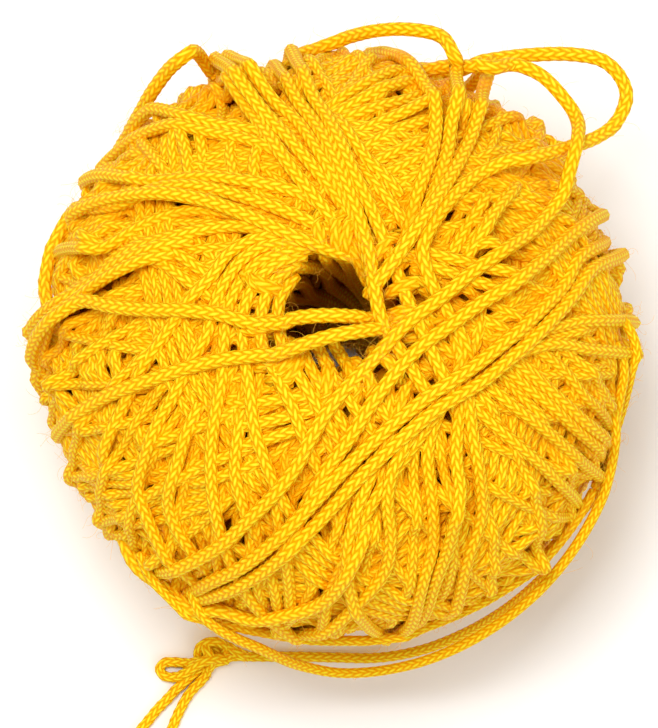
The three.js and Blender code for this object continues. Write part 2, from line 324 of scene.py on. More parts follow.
# The map of the winding: six faces of a cube, each with this many cells a side at equal angles.
MAP_CELLS = 330
# A cord has a place at each step along it, and a row of marks across it, in radii. Steps and
# marks are turned into angles at a reach that is about the ball's mean one.
LAY_STEP = 0.15
OFFSETS = np.linspace(-1, 1, 13)
NEAR_REACH = 36.0
# How far a cord sinks into what it crosses, and how it is drawn taut: how many times over, and
# over how many steps to either side.
TURN_PRESS, STRAND_PRESS = 0.75, 0.8
TURN_EASING, STRAND_EASING = (10, 5), (60, 9)
# A strand's two ends go down between the others, by this many radii over this length.
DIVE_DEPTH, DIVE_LENGTH = 2.6, 5.0
# The winding is measured where it stands over the bare ball and outside the hole's mouth, and
# is sunk this far into the ball's form, at the waist and at the ends of the hole.
WOUND_OVER = 0.1
MOUTH_COSINE = math.cos(math.radians(12))
WAIST_SUNK, END_SUNK = 0.95, 1.5
# Steps over which a cord's settling fades out where it stands off the ball.
HELD_BLEND = 20
# A turn shows if it comes within this of the top. What is drawn runs on by a few steps, and very
# short stretches are left out. So is what lies in the hole, or deep behind its wall.
SEE_OVER = 0.12
SEE_PAST, SHORTEST_SEEN = 10, 8
HOLE_CLEAR = 0.6
BEHIND_WALL, WALL_BACK = 3.5, 9.8
# A strand is set to its place in the picture where that is within the first share of the way
# from the middle to the outline, and not at all past the second share. The blend is in steps.
AIMED_WITHIN, AIMED_UP_TO, AIM_BLEND = 0.8, 0.95, 15

# The rim of the hole's mouth is round: the middle and radius of its section.
RIM_LEVEL, RIM_UP, RIM_RADIUS = 10.23, 29.15, 4.33
SHOULDER_POLAR = math.atan2(HALF_WIDTH * math.cos(SHOULDER), HALF_HEIGHT * math.sin(SHOULDER))


def reach_of(way):
    """How far the ball reaches from its middle in each direction: an oval, the round rim of the
    hole's mouth at the top, and the plane that it stands on at the bottom."""
    level, up = np.hypot(way[..., 0], way[..., 1]), way[..., 2]
    oval = 1 / np.hypot(level / HALF_WIDTH, up / HALF_HEIGHT)
    across = RIM_LEVEL * up - RIM_UP * level
    rim = RIM_LEVEL * level + RIM_UP * up + np.sqrt(np.maximum(RIM_RADIUS**2 - across**2, 0))
    near_top = (up > 0) & (np.arctan2(level, up) < SHOULDER_POLAR)
    floor = CENTRE_HEIGHT / np.maximum(-up, 1e-3)
    return np.minimum(np.where(near_top, rim, oval), floor)


def cell_of(way):
    """The map's cell for each direction: the cube's face, then the two angles across it."""
    size = np.abs(way)
    axis = size.argmax(-1)
    main = np.take_along_axis(way, axis[..., None], -1)[..., 0]
    first = np.take_along_axis(way, ((axis + 1) % 3)[..., None], -1)[..., 0]
    second = np.take_along_axis(way, ((axis + 2) % 3)[..., None], -1)[..., 0]
    depth = np.abs(main)
    row = ((np.arctan(first / depth) * 2 / np.pi + 0.5) * MAP_CELLS).astype(int)
    column = ((np.arctan(second / depth) * 2 / np.pi + 0.5) * MAP_CELLS).astype(int)
    row, column = np.clip(row, 0, MAP_CELLS - 1), np.clip(column, 0, MAP_CELLS - 1)
    return ((axis * 2 + (main < 0)) * MAP_CELLS + row) * MAP_CELLS + column


def ways_of_cells():
    """The direction of every cell of the map."""
    angle = ((np.arange(MAP_CELLS) + 0.5) / MAP_CELLS - 0.5) * np.pi / 2
    first, second = np.meshgrid(np.tan(angle), np.tan(angle), indexing="ij")
    faces = []
    for axis in range(3):
        for sign in (1, -1):
            face = np.empty((MAP_CELLS, MAP_CELLS, 3))
            face[..., axis] = sign
            face[..., (axis + 1) % 3] = first
            face[..., (axis + 2) % 3] = second
            faces.append(face.reshape(-1, 3))
    return unit(np.concatenate(faces))


CELL_WAYS = ways_of_cells()
# The thickness of the winding is smoothed on a grid of space whose cells are this wide, as
# shares of the ball's radius. The grid reaches a little past the unit ball.
FINE_GRID, CLOSE_GRID, WIDE_GRID = 0.12, 0.2, 0.3
GRID_REACH = 1.1


def grid_side(grid):
    """How many corners the coarse grid has along each side."""
    return math.ceil(2 * GRID_REACH / grid) + 2


def grid_corners(way, grid):
    """The eight corners of a coarse grid of space round each direction, with their shares."""
    side = grid_side(grid)
    place = (way + GRID_REACH) / grid
    low = np.floor(place).astype(int)
    part = place - low
    for corner in range(8):
        step = np.array([corner & 1, corner >> 1 & 1, corner >> 2])
        share = np.prod(np.where(step, part, 1 - part), axis=1)
        x, y, z = (low + step).T
        yield (x * side + y) * side + z, share


def smoothed(values, half):
    """The mean of each value and its near ones, with the end values held on."""
    padded = np.pad(values, half, mode="edge")
    return np.convolve(padded, np.ones(2 * half + 1) / (2 * half + 1), "valid")


def eased(low, closed, easing):
    """A taut line over the bumps: again and again the mean of its near places, but never below
    the bumps."""
    rounds, half = easing
    line = low.copy()
    for _ in range(rounds):
        padded = np.pad(line, half, mode="wrap" if closed else "edge")
        total = np.cumsum(np.concatenate([[0], padded]))
        line = np.maximum(low, (total[2 * half + 1:] - total[: -2 * half - 1]) / (2 * half + 1))
    return line


class Winding:
    """Cords laid one after another on the ball. Two maps hold how far all that is laid so far
    reaches in each direction, the cords on the ball and those that stand off it, so a cord rides
    over those that it crosses."""

    def __init__(self):
        self.ball = reach_of(CELL_WAYS)
        self.bare = self.ball + WOUND_OVER
        self.loops = 0 * self.ball
        self.cords = []

    def reach(self, cell):
        """How far the winding reaches at cells of the map."""
        return np.maximum(self.ball[cell], self.loops[cell])

    def cells(self, way, radius):
        """The map's cells under a cord: a row across it at each of its places."""
        side = unit(np.cross(way, np.gradient(way, axis=0)))
        spread = way[:, None, :] + side[:, None, :] * (OFFSETS * radius / NEAR_REACH)[None, :, None]
        return cell_of(unit(spread))

    def lay(self, way, radius, press, easing, closed=False, held=None, dives=(False, False),
            **known):
        """Lays a cord along directions at even steps. Its height is the least that clears what
        it crosses, drawn taut; held gives the height where the cord stands off the ball; dives
        tells whether each of its two ends goes down between the others."""
        cell = self.cells(way, radius)
        arch = radius * np.sqrt(1 - OFFSETS**2)
        low = (self.reach(cell) + arch).max(axis=1) - press
        held = np.full(len(way), np.nan) if held is None else held
        height = eased(np.fmax(held, low), closed, easing)
        steps = np.arange(len(height))
        for dive, steps_in in zip(dives, (steps, steps[::-1])):
            if dive:
                share = np.clip(1 - steps_in * LAY_STEP / DIVE_LENGTH, 0, 1)
                height = height - DIVE_DEPTH * radius * share**2
        self.cords.append(dict(way=way, height=height, cell=cell, arch=arch, radius=radius,
                               closed=closed, held=held, **known))
        self.stamp(self.cords[-1])

    def stamp(self, cord):
        """Marks on the maps how far a cord reaches."""
        top = cord["height"][:, None] + cord["arch"]
        off = ~np.isnan(cord["held"])
        np.maximum.at(self.ball, cord["cell"][~off], top[~off])
        np.maximum.at(self.loops, cord["cell"][off], top[off])

    def stamp_all(self):
        """Marks all the cords on empty maps."""
        self.ball, self.loops = 0 * self.ball, 0 * self.ball
        for cord in self.cords:
            self.stamp(cord)

    def aim(self):
        """Turns the strands so that each shows at its places in the picture at the height to which
        it has settled: its place is then shown + near, where near is what is left of the height
        along the line of sight. The move is smoothed, and held on over the strand's two ends."""
        for cord in self.cords:
            first, shown = cord.get("shown", (0, ()))
            if len(shown):
                part = slice(first, first + len(shown))
                aside = np.column_stack([shown[:, 0], shown[:, 1:] * PICTURE_UP[1:]])
                aside = aside / cord["height"][part][:, None]
                share = np.linalg.norm(aside, axis=1)
                near = np.sqrt(np.maximum(1 - share**2, 0))
                keen = np.clip((AIMED_UP_TO - share) / (AIMED_UP_TO - AIMED_WITHIN), 0, 1)
                move = (aside + near[:, None] * PICTURE_NEAR - cord["way"][part]) * keen[:, None]
                rest = len(cord["way"]) - first - len(shown)
                move = np.pad(move, ((first, rest), (0, 0)), mode="edge")
                move = np.stack([smoothed(column, AIM_BLEND) for column in move.T], axis=1)
                cord["way"] = unit(cord["way"] + move)
                cord["cell"] = self.cells(cord["way"], cord["radius"])
        self.stamp_all()

    def settle(self, grid=FINE_GRID):
        """Draws the winding in to the ball's form: its thickness, smoothed over about the width
        of the grid's cells, is taken away everywhere, so that its mean reach is a little less
        than the form's. The cords keep their order, and rise and fall only where they cross.
        Cords that stand off the ball stay where they are."""
        wound = (self.ball > self.bare) & (CELL_WAYS[:, 2] < MOUTH_COSINE)
        thick = (self.ball - reach_of(CELL_WAYS))[wound]
        cells = grid_side(grid) ** 3
        total, weight = np.zeros(cells), np.zeros(cells)
        for index, share in grid_corners(CELL_WAYS[wound], grid):
            total += np.bincount(index, share * thick, cells)
            weight += np.bincount(index, share, cells)
        for cord in self.cords:
            sums = sum(np.stack([total[index], weight[index]]) * share
                       for index, share in grid_corners(cord["way"], grid))
            free = smoothed(np.isnan(cord["held"]).astype(float), HELD_BLEND)
            swell = sums[0] / np.maximum(sums[1], 1e-6)
            sunk = WAIST_SUNK + (END_SUNK - WAIST_SUNK) * cord["way"][:, 2] ** 2
            cord["height"] = cord["height"] - free * (swell + sunk)
        self.bare = 0 * self.ball
        self.stamp_all()

    def runs(self, cord):
        """The stretches of a cord that show, each a little longer than what shows of it."""
        top = cord["height"][:, None] + cord["arch"]
        shows = (top >= self.reach(cord["cell"]) - SEE_OVER).any(axis=1)
        shows |= ~np.isnan(cord["held"])
        place = cord["way"] * cord["height"][:, None]
        level = np.hypot(place[:, 0], place[:, 1])
        sunk = cord["height"] < reach_of(cord["way"]) - BEHIND_WALL
        in_hole = level < np.where(sunk, WALL_BACK, HOLE_RADIUS + HOLE_CLEAR * cord["radius"])
        in_hole &= cord["layer"] == "turns"
        shows &= ~in_hole
        order = np.arange(len(shows))
        if cord["closed"] and not shows.all():
            order = np.roll(order, -int(np.argmin(shows)))
        wide = np.convolve(shows[order], np.ones(2 * SEE_PAST + 1), "same") > 0.5
        wide &= ~in_hole[order]
        edges = np.flatnonzero(np.diff(np.concatenate([[0], wide.astype(int), [0]])))
        for first, last in edges.reshape(-1, 2):
            if last - first > 2 * SEE_PAST + SHORTEST_SEEN:
                yield order[first:last]


def turn(lean, heading, offset, wobble):
    """A turn round the ball: a circle whose plane leans from the vertical, moved along its axis
    by an offset angle that wobbles a little. Angles in radians."""
    axis = np.array([math.cos(lean) * math.cos(heading), math.cos(lean) * math.sin(heading),
                     math.sin(lean)])
    level = np.array([-math.sin(heading), math.cos(heading), 0])
    climb = np.cross(axis, level)
    t = np.arange(0, 2 * np.pi, LAY_STEP / NEAR_REACH)
    off = offset + sum(size * np.sin(number * t + start) for number, size, start in wobble)
    circle = np.cos(t)[:, None] * level + np.sin(t)[:, None] * climb
    return np.cos(off)[:, None] * circle + np.sin(off)[:, None] * axis


# The turns: groups and the leans between which they are spread, the angle between neighbours,
# and the lean and number of turns of each rosette, by the group that it comes before.
GROUPS = 30
SMALLEST_GROUP, LARGEST_GROUP = 4, 7
STEEPEST_LEAN, FLATTEST_LEAN, STEEP_BELOW = 12.0, 74.0, 26.0
INNER_LEAN = 3.5
TURN_SPACING = 1.06 * 2 * TURN_RADIUS / NEAR_REACH
ROSETTES = {12: (12.6, 40), 21: (16.0, 36), 28: (13.0, 34)}
GOLDEN_ANGLE = math.radians(137.5)
ROSETTE_WOBBLE, GROUP_WOBBLE = 0.008, 0.012
WAVES = (1, 2, 3)
SETTLE_AFTER = 22


def wobbles(chance, most):
    """A few waves round a turn, as [number, size, start]."""
    return [(n, chance.uniform(0, most), chance.uniform(0, 2 * np.pi)) for n in WAVES]


def groups_of_turns():
    """Groups of four to seven turns side by side. Steep groups, which pass close to the hole,
    move on round the axis from turn to turn; the others lie parallel. The sine of the lean is
    spread evenly, so that all of the ball is covered alike. Before some of the groups a rosette
    is wound: steep turns at even steps round the axis, which close the ball up to the hole."""
    chance = np.random.default_rng(11)
    low, high = math.sin(math.radians(STEEPEST_LEAN)), math.sin(math.radians(FLATTEST_LEAN))
    share = (np.arange(GROUPS) + 0.5) / GROUPS
    chance.shuffle(share)
    for number in range(GROUPS):
        rosette_lean, rosette_turns = ROSETTES.get(number, (0, 0))
        for k in range(rosette_turns):
            own = wobbles(chance, ROSETTE_WOBBLE)
            heading = 2 * np.pi * (k + chance.uniform(-0.15, 0.15)) / rosette_turns
            yield turn(math.radians(rosette_lean), heading, 0, own)
        lean = math.asin(low + (high - low) * share[number])
        inner = math.radians(INNER_LEAN) * (1 - number / GROUPS)
        heading = GOLDEN_ANGLE * number + chance.uniform(-0.2, 0.2)
        count = int(chance.integers(SMALLEST_GROUP, LARGEST_GROUP + 1))
        wobble = wobbles(chance, GROUP_WOBBLE)
        steep = lean < math.radians(STEEP_BELOW)
        for k in range(count):
            shift = (k - (count - 1) / 2) * TURN_SPACING * chance.uniform(0.97, 1.05)
            own = [(n, a * chance.uniform(0.8, 1.2), s) for n, a, s in wobble]
            if steep:
                yield turn(lean + inner, heading + shift / math.cos(lean), 0, own)
            else:
                yield turn(lean, heading, shift, own)


winding = Winding()
for number, way in enumerate(groups_of_turns()):
    winding.lay(way, TURN_RADIUS, TURN_PRESS, TURN_EASING, closed=True, layer="turns")
    if number % SETTLE_AFTER == SETTLE_AFTER - 1:
        winding.settle()
winding.settle()


# Strands that show from above, in the order in which they are laid. The first two numbers are
# the lengths in mm that the strand runs on past the ends of its route, round the ball. A place is
# [across, down] in pixels of the picture, and where the strand stands off the ball a third
# number is its height in mm.
UNDER_STRANDS = {
    "back_group_1": (4, 4, [[337, 98], [365, 78], [395, 62]]),
    "back_group_2": (4, 4, [[338, 115], [370, 93], [408, 72]]),
    "back_group_3": (4, 6, [[336, 131], [370, 109], [415, 85]]),
    "back_group_4": (4, 6, [[350, 147], [389, 122], [418, 104]]),
    "back_group_5": (4, 6, [[356, 163], [389, 140], [418, 124]]),
    "back_group_6": (4, 4, [[368, 174], [395, 159], [418, 148]]),
    "back_group_7": (4, 4, [[372, 190], [398, 175], [420, 164]]),
    "back_group_8": (4, 4, [[378, 205], [400, 192], [418, 181]]),
    "back_short_outer": (3, 3, [[340, 128], [352, 146], [366, 166], [384, 184]]),
    "back_short_inner": (3, 3, [[366, 184], [383, 204], [397, 226], [404, 240]]),
    "right_level_upper": (4, 8, [[450, 192], [478, 188], [508, 191], [550, 197]]),
    "right_level_lower": (4, 8, [[450, 206], [478, 203], [508, 205], [550, 212]]),
    "right_short_1": (4, 4, [[462, 262], [480, 234], [494, 212], [508, 196]]),
    "right_short_2": (4, 4, [[446, 258], [462, 232], [476, 212]]),
    "right_of_hole_upper": (4, 6, [[397, 249], [429, 259], [458, 265], [486, 271]]),
    "right_of_hole_lower": (4, 6, [[405, 264], [441, 275], [472, 284]]),
    "lower_right_1": (6, 40, [[440, 352], [468, 374], [498, 397], [528, 419], [557, 441], [587, 464],
                              [612, 484]]),
    "lower_right_2": (6, 40, [[460, 344], [485, 361], [513, 382], [545, 405], [575, 428], [606, 452]]),
    "lower_right_3": (6, 40, [[480, 344], [500, 360], [528, 378], [557, 400], [587, 424], [616, 446]]),
    "lower_right_4": (6, 40, [[446, 386], [466, 404], [498, 431], [528, 455], [557, 480], [582, 502]]),
    "lower_right_5": (6, 30, [[505, 335], [532, 352], [560, 372], [590, 396], [618, 420]]),
    "right_edge_1": (6, 40, [[520, 350], [550, 344], [585, 349], [622, 352]]),
    "right_edge_2": (6, 40, [[520, 334], [550, 328], [580, 322], [625, 320]]),
    "front_right_1": (6, 40, [[466, 350], [458, 380], [453, 420], [453, 458], [457, 488], [450, 528],
                              [441, 567], [434, 612]]),
    "front_right_2": (6, 40, [[452, 350], [461, 385], [468, 429], [475, 468], [478, 508], [471, 547],
                              [463, 608]]),
    "front_right_3": (6, 30, [[446, 384], [430, 420], [424, 450], [428, 485], [431, 530], [425, 580],
                              [416, 630]]),
    "front_middle_1": (6, 40, [[440, 400], [405, 450], [389, 472], [370, 500], [351, 538], [339, 570],
                               [328, 603], [322, 640]]),
    "front_middle_2": (6, 40, [[410, 430], [390, 470], [386, 500], [389, 530], [386, 560], [372, 590],
                               [352, 616]]),
    "front_middle_3": (6, 40, [[392, 420], [372, 465], [355, 510], [346, 555], [352, 600], [368, 636]]),
    "front_short_1": (8, 8, [[282, 528], [288, 565], [288, 600]]),
    "front_short_2": (8, 8, [[263, 535], [269, 570], [272, 606]]),
    "left_cross_1": (5, 5, [[151, 494], [178, 478], [206, 464]]),
    "left_cross_2": (5, 5, [[166, 438], [190, 430], [212, 421]]),
    "left_cross_3": (5, 5, [[222, 456], [248, 446]]),
    "left_cross_4": (5, 5, [[224, 472], [254, 461]]),
    "left_cross_5": (5, 5, [[265, 400], [301, 395]]),
    "left_cross_6": (5, 5, [[265, 420], [303, 411]]),
    "left_cross_7": (5, 5, [[266, 437], [300, 426]]),
    "left_slant_1": (5, 5, [[142, 257], [171, 269], [203, 292]]),
    "left_slant_2": (5, 5, [[150, 246], [180, 256], [212, 278]]),
    "back_left_1": (5, 5, [[134, 134], [150, 154], [166, 176]]),
    "back_left_2": (5, 5, [[180, 136], [186, 154], [191, 172]]),
    "back_left_3": (5, 5, [[198, 136], [203, 156], [209, 178]]),
    "back_left_4": (5, 5, [[238, 142], [234, 160], [240, 186]]),
    "back_left_5": (5, 5, [[262, 152], [257, 170], [258, 190]]),
    "back_left_over_1": (30, 6, [[100, 140], [136, 127], [171, 124], [201, 129], [231, 138], [265, 151]]),
    "back_left_over_2": (40, 6, [[112, 116], [150, 110], [186, 117], [241, 130], [282, 146]]),
    "below_hole_1": (1.5, 6, [[304, 352], [316, 376], [332, 404]]),
    "below_hole_2": (1.5, 6, [[321, 354], [334, 377], [350, 400]]),
    "below_hole_3": (1.5, 6, [[338, 352], [350, 370], [364, 388]]),
    "front_left_low_1": (4, 6, [[190, 432], [180, 463], [171, 498], [177, 528], [188, 556]]),
    "front_left_low_2": (4, 6, [[240, 440], [238, 470], [247, 506]]),
}
ROUND_THE_HOLE = {
    "left_fan_1": (22, 6, [[66, 246], [100, 249], [130, 236], [160, 225], [191, 217], [221, 217],
                           [251, 226], [272, 236]]),
    "left_fan_2": (22, 6, [[60, 285], [80, 275], [110, 263], [150, 247], [181, 239], [211, 233],
                           [241, 231], [276, 238]]),
    "left_fan_3": (22, 6, [[46, 310], [68, 293], [95, 277], [122, 264], [150, 253]]),
    "left_fan_4": (22, 6, [[42, 335], [60, 312], [84, 292], [108, 279], [132, 268]]),
    "round_hole_1": (4, 20, [[300, 240], [271, 240], [251, 246], [231, 258], [217, 277], [201, 293],
                             [187, 311], [172, 332], [158, 352]]),
    "round_hole_2": (4, 30, [[294, 247], [267, 250], [247, 262], [233, 279], [223, 297], [217, 313],
                             [211, 337], [196, 362], [178, 395], [163, 419], [153, 443], [145, 466],
                             [140, 490], [146, 514]]),
    "round_hole_3": (3, 30, [[291, 255], [263, 266], [249, 281], [239, 297], [232, 317], [229, 345],
                             [226, 378], [219, 413], [215, 439], [214, 463], [215, 486], [218, 508],
                             [226, 540]]),
    "round_hole_4": (2, 6, [[292, 262], [275, 270], [261, 283], [253, 299], [247, 319], [248, 350],
                            [253, 389], [255, 415], [259, 435], [267, 459], [279, 487]]),
    "round_hole_5": (1.5, 6, [[291, 272], [277, 284], [268, 301], [264, 321], [266, 348], [275, 366],
                            [285, 387], [295, 409], [305, 436]]),
    "round_hole_6": (1.5, 6, [[290, 286], [281, 303], [280, 322], [285, 348], [297, 370], [309, 389],
                            [321, 410]]),
}
OVER_STRANDS = {
    "left_upper_back": (14, 8, [[100, 172], [142, 180], [181, 183], [211, 182], [251, 187], [285, 195],
                                [308, 206], [330, 222]]),
    "left_upper": (12, 8, [[42, 215], [54, 208], [90, 202], [126, 198], [160, 191], [191, 190],
                           [221, 195], [251, 204], [281, 215], [311, 228], [338, 242]]),
    "left_rim": (20, 3, [[140, 196], [171, 197], [211, 205], [251, 220], [291, 238], [321, 251],
                         [345, 259], [368, 270]]),
    "mouth_back": (16, 6, [[60, 318], [84, 302], [118, 308], [153, 311], [190, 312], [223, 316],
                           [256, 325], [279, 325], [300, 319, 68.7], [324, 317, 69.0],
                           [350, 318, 68.8], [372, 320], [400, 318]]),
    "mouth_front": (16, 6, [[70, 418], [107, 397], [153, 380], [190, 368], [223, 360], [256, 356],
                            [285, 352, 67.6], [310, 343, 68.6], [335, 336, 69.0], [360, 332, 68.8],
                            [382, 329], [405, 326]]),
}
TOP_STRANDS = {
    "shoulder_outer": (10, 8, [[150, 124, 36], [155, 98, 40], [165, 76, 43], [186, 58, 47],
                              [207, 56], [232, 87], [262, 128], [290, 170], [318, 207], [343, 240]]),
    "shoulder_middle": (40, 8, [[212, 60], [240, 86], [267, 118], [287, 141], [306, 164], [327, 191],
                                [343, 214], [354, 236]]),
    "shoulder_inner": (40, 8, [[236, 62], [262, 88], [293, 121], [311, 147], [331, 178], [345, 203],
                               [357, 232], [365, 257]]),
    "steep_outer": (50, 10, [[268, 36], [283, 68], [297, 97], [311, 122], [330, 153], [346, 190],
                             [360, 228], [368, 256], [373, 289], [378, 315], [386, 333], [398, 352]]),
    "steep_inner": (50, 10, [[288, 32], [301, 65], [315, 98], [328, 123], [342, 152], [355, 182],
                             [370, 214], [379, 238], [388, 262], [399, 289], [409, 313], [420, 336]]),
    "back_right_outer": (40, 8, [[396, 40], [408, 54], [421, 68], [432, 90], [436, 115], [433, 141],
                                 [426, 168], [415, 198], [408, 224]]),
    "back_right_inner": (10, 8, [[333, 62, 36], [353, 40, 39], [375, 32, 42], [410, 31, 44.5],
                                [440, 38, 46], [452, 54, 48], [454, 75], [455, 97], [451, 123],
                                [446, 151], [438, 178], [429, 204], [417, 230], [404, 248]]),
    "outer_loop": (10, 8, [[456, 80, 36], [482, 67, 38], [510, 58, 39], [538, 55, 40], [572, 55, 41],
                          [603, 62, 42], [621, 81, 42.5], [625, 100, 43], [612, 126, 44],
                          [589, 144, 45.5], [560, 154, 50], [528, 161, 56], [498, 167], [476, 178],
                          [458, 193], [443, 209], [429, 229], [420, 250], [423, 273], [431, 293],
                          [442, 312]]),
    "beside_the_loop": (30, 8, [[484, 92], [480, 110], [475, 130], [464, 152], [452, 174], [437, 198],
                                [422, 220]]),
}
LAST_STRANDS = {
    "inner_loop": (10, 30, [[478, 94, 42], [503, 77, 44], [519, 69, 45], [538, 76, 46], [556, 93, 46.5],
                           [569, 112, 46.5], [569, 133, 47], [563, 152, 48], [560, 180, 51],
                           [552, 209], [528, 234], [498, 254], [468, 275], [441, 297], [410, 320],
                           [393, 336], [372, 360], [348, 384], [326, 412], [310, 439], [297, 464],
                           [277, 490], [253, 514], [228, 538], [200, 558], [166, 576], [140, 582]]),
    "right_long": (50, 8, [[622, 206], [600, 217], [567, 240], [538, 263], [508, 286], [478, 304],
                           [443, 329], [420, 345], [397, 368], [372, 400], [350, 434], [326, 467],
                           [310, 495], [298, 520]]),
    "right_pair_upper": (50, 40, [[616, 240], [590, 254], [564, 284], [543, 304], [518, 328], [495, 347],
                                  [468, 368], [429, 393], [399, 416], [370, 441], [342, 468],
                                  [314, 499], [280, 534], [246, 562], [208, 589], [184, 604]]),
    "right_pair_lower": (50, 40, [[624, 256], [600, 268], [575, 294], [553, 315], [528, 340],
                                  [505, 359], [478, 381], [438, 405], [408, 429], [380, 454],
                                  [352, 481], [325, 511], [291, 546], [258, 574], [216, 602]]),
    "round_front_edge": (8, 8, [[160, 590], [194, 611], [218, 618], [247, 627], [277, 624],
                                 [307, 615], [327, 600], [345, 574]]),
}
THIN_TURNS = {
    "waist": (8, 8, [[606, 380, 36], [615, 412, 34.5], [612, 452, 33], [589, 511, 33], [556, 551, 32],
                     [491, 606, 31], [440, 631, 30], [398, 643, 30], [330, 651, 30], [256, 649, 30],
                     [225, 636, 32], [180, 604, 35]]),
    "to_the_lead": (0, 8, [[544, 577, 26.5], [562, 556, 28], [581, 528, 30], [597, 498, 32],
                           [608, 462, 34], [610, 430, 36], [604, 400, 38]]),
}
SLACK_TURNS = {
    "waist_slack": (8, 8, [[236, 618, 32], [258, 640, 29], [280, 658, 24], [305, 669, 19],
                           [340, 676, 16], [380, 674, 16], [420, 664, 19], [460, 648, 22],
                           [500, 623, 25], [540, 590, 28], [574, 548, 31], [598, 506, 33],
                           [610, 470, 35]]),
}
THIN_RADIUS = 0.68
# The mark of a place that stands off the ball, and how many steps back a run-on takes its
# heading from.
OFF_MARK = 20.0
HEADING_STEPS = 8


def strand_line(places):
    """A strand's curve in space and, at each point of it, whether it stands off the ball."""
    flat = from_pixels(places)
    off = np.array([len(place) == 3 for place in places])
    height = np.array([place[2] if len(place) == 3 else 0 for place in places])
    solid = np.where(off[:, None], at_height(np.column_stack([flat, height])), on_ball(flat))
    curve = through(np.column_stack([solid, off * OFF_MARK]), LAY_STEP)
    return curve[:, :3], curve[:, 3] > OFF_MARK / 2


def run_on(way, length, end):
    """More directions past the end of a path, along the great circle that it leaves on."""
    tip = way[end]
    other = way[HEADING_STEPS] if end == 0 else way[-1 - HEADING_STEPS]
    onward = unit(tip - other - np.dot(tip - other, tip) * tip)
    angle = np.arange(1, round(length / LAY_STEP) + 1) * LAY_STEP / NEAR_REACH
    more = np.cos(angle)[:, None] * tip + np.sin(angle)[:, None] * onward
    return more[::-1] if end == 0 else more


def lay_strands(strands, radius, layer, stands_off=True):
    """Lays a table of strands: each is its route, run on at both ends, with its ends tucked in."""
    for before, after, places in strands.values():
        curve, off = strand_line(places)
        way = unit(curve - CENTRE)
        held = np.where(off & stands_off, np.linalg.norm(curve - CENTRE, axis=1), np.nan)
        first = run_on(way, before, 0) if before else way[:0]
        last = run_on(way, after, -1) if after else way[:0]
        held = np.concatenate([np.full(len(first), np.nan), held, np.full(len(last), np.nan)])
        shown = np.column_stack([curve[:, 0], (curve - CENTRE) @ PICTURE_UP])
        winding.lay(np.concatenate([first, way, last]), radius, STRAND_PRESS, STRAND_EASING,
                    held=held, dives=(before > 0, after > 0), layer=layer,
                    shown=(len(first), shown))


lay_strands(UNDER_STRANDS, UNDER_RADIUS, "under")
winding.settle(WIDE_GRID)
lay_strands(ROUND_THE_HOLE, UNDER_RADIUS, "round")
winding.settle(WIDE_GRID)
lay_strands(OVER_STRANDS, CORD_RADIUS, "over")
winding.settle(WIDE_GRID)
lay_strands(TOP_STRANDS, CORD_RADIUS, "top")
winding.settle(WIDE_GRID)
lay_strands(LAST_STRANDS, CORD_RADIUS, "last")
winding.settle(WIDE_GRID)
lay_strands(THIN_TURNS, THIN_RADIUS, "thin", stands_off=False)
lay_strands(SLACK_TURNS, THIN_RADIUS, "thin")
winding.settle(CLOSE_GRID)
winding.aim()

# How far apart the rings of the plain turns are, over how many repeats the plaits start, and how
# far under its neighbours a cord is when it takes the whole of the painted deep shade.
PLAIN_STEP, PLAIN_SIDES = 1.0, 8
PHASES = 40
DEEP = 3.0
# The cords press together: no cord is drawn deeper under the ball's form than this.
DEEPEST = 3.7


def part_of_ball(tubes, name):
    """Gathered cords as a piece that stands for the ball."""
    made = tubes.mesh(name)
    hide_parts("wound_ball")
    return made


def pressed(cord):
    """A cord's height with the deep stretches pressed up: a depth d under the ball's form becomes
    D (1 - exp(-d / D)), where D is the deepest that there may be."""
    form = reach_of(cord["way"])
    depth = np.maximum(form - cord["height"], 0)
    return cord["height"] + depth - DEEPEST * (1 - np.exp(-depth / DEEPEST))


def gather(layer, name, step, part=(0, 1), sides=COLUMNS, relief=RELIEF, pitch=PITCH):
    """The stretches that show of one layer's cords, or of a part of them, as one object."""
    tubes = Tubes()
    chance = np.random.default_rng(3)
    cords = [cord for cord in winding.cords if cord["layer"] == layer]
    for cord in cords[round(part[0] * len(cords)):round(part[1] * len(cords))]:
        # The share of painted shade: how far the cord lies under the top of the winding, up to DEEP.
        crest = winding.reach(cord["cell"]).max(axis=1)
        shade_share = np.clip((crest - cord["height"] - cord["radius"]) / DEEP, 0, 1)
        height = pressed(cord)
        for run in winding.runs(cord):
            way = cord["way"][run]
            whole = np.column_stack([CENTRE + way * height[run][:, None], way, shade_share[run]])
            line = at_even_steps(whole, step)
            tubes.add(line[:, :3], cord["radius"], unit(line[:, 3:6]), depth=line[:, 6],
                      sides=sides, phase=chance.uniform(0, PHASES), roll=chance.uniform(0, 1),
                      relief=relief, pitch=pitch)
    return part_of_ball(tubes, name)


# The turns are parted into pieces at these shares of their number, as the later ones show more.
TURN_SHARES = (0, 0.5, 0.74, 0.88, 1)
turns = [
    gather("turns", f"turns_{number + 1}", PLAIN_STEP, TURN_SHARES[number:number + 2],
           sides=PLAIN_SIDES, relief=0)
    for number in range(len(TURN_SHARES) - 1)
]
strands = [
    gather("under", "strands_under", PITCH / 2),
    gather("round", "strands_round_the_hole", PITCH / 2),
    gather("over", "strands_over_the_hole", PITCH / 2),
    gather("top", "strands_on_top", PITCH / 2),
    gather("last", "strands_laid_last", PITCH / 2),
    gather("thin", "thin_turns", TIE_PITCH / 2, relief=RELIEF * 0.7, pitch=TIE_PITCH),
]

# The hole's wall: two layers of strands that run down it with opposite twists, out of the
# roundness of the mouth's rim.
WALL_STRANDS, WALL_POINTS, RIM_POINTS = 20, 60, 24
WALL_TWISTS, LAYER_STEP = (1.5, -1.1), 1.6
WALL_LOW, RIM_HEIGHT = 2.0, CENTRE_HEIGHT + RIM_UP
RIM_ARC = (180, 45)
RIM_LOWERED = 0.5
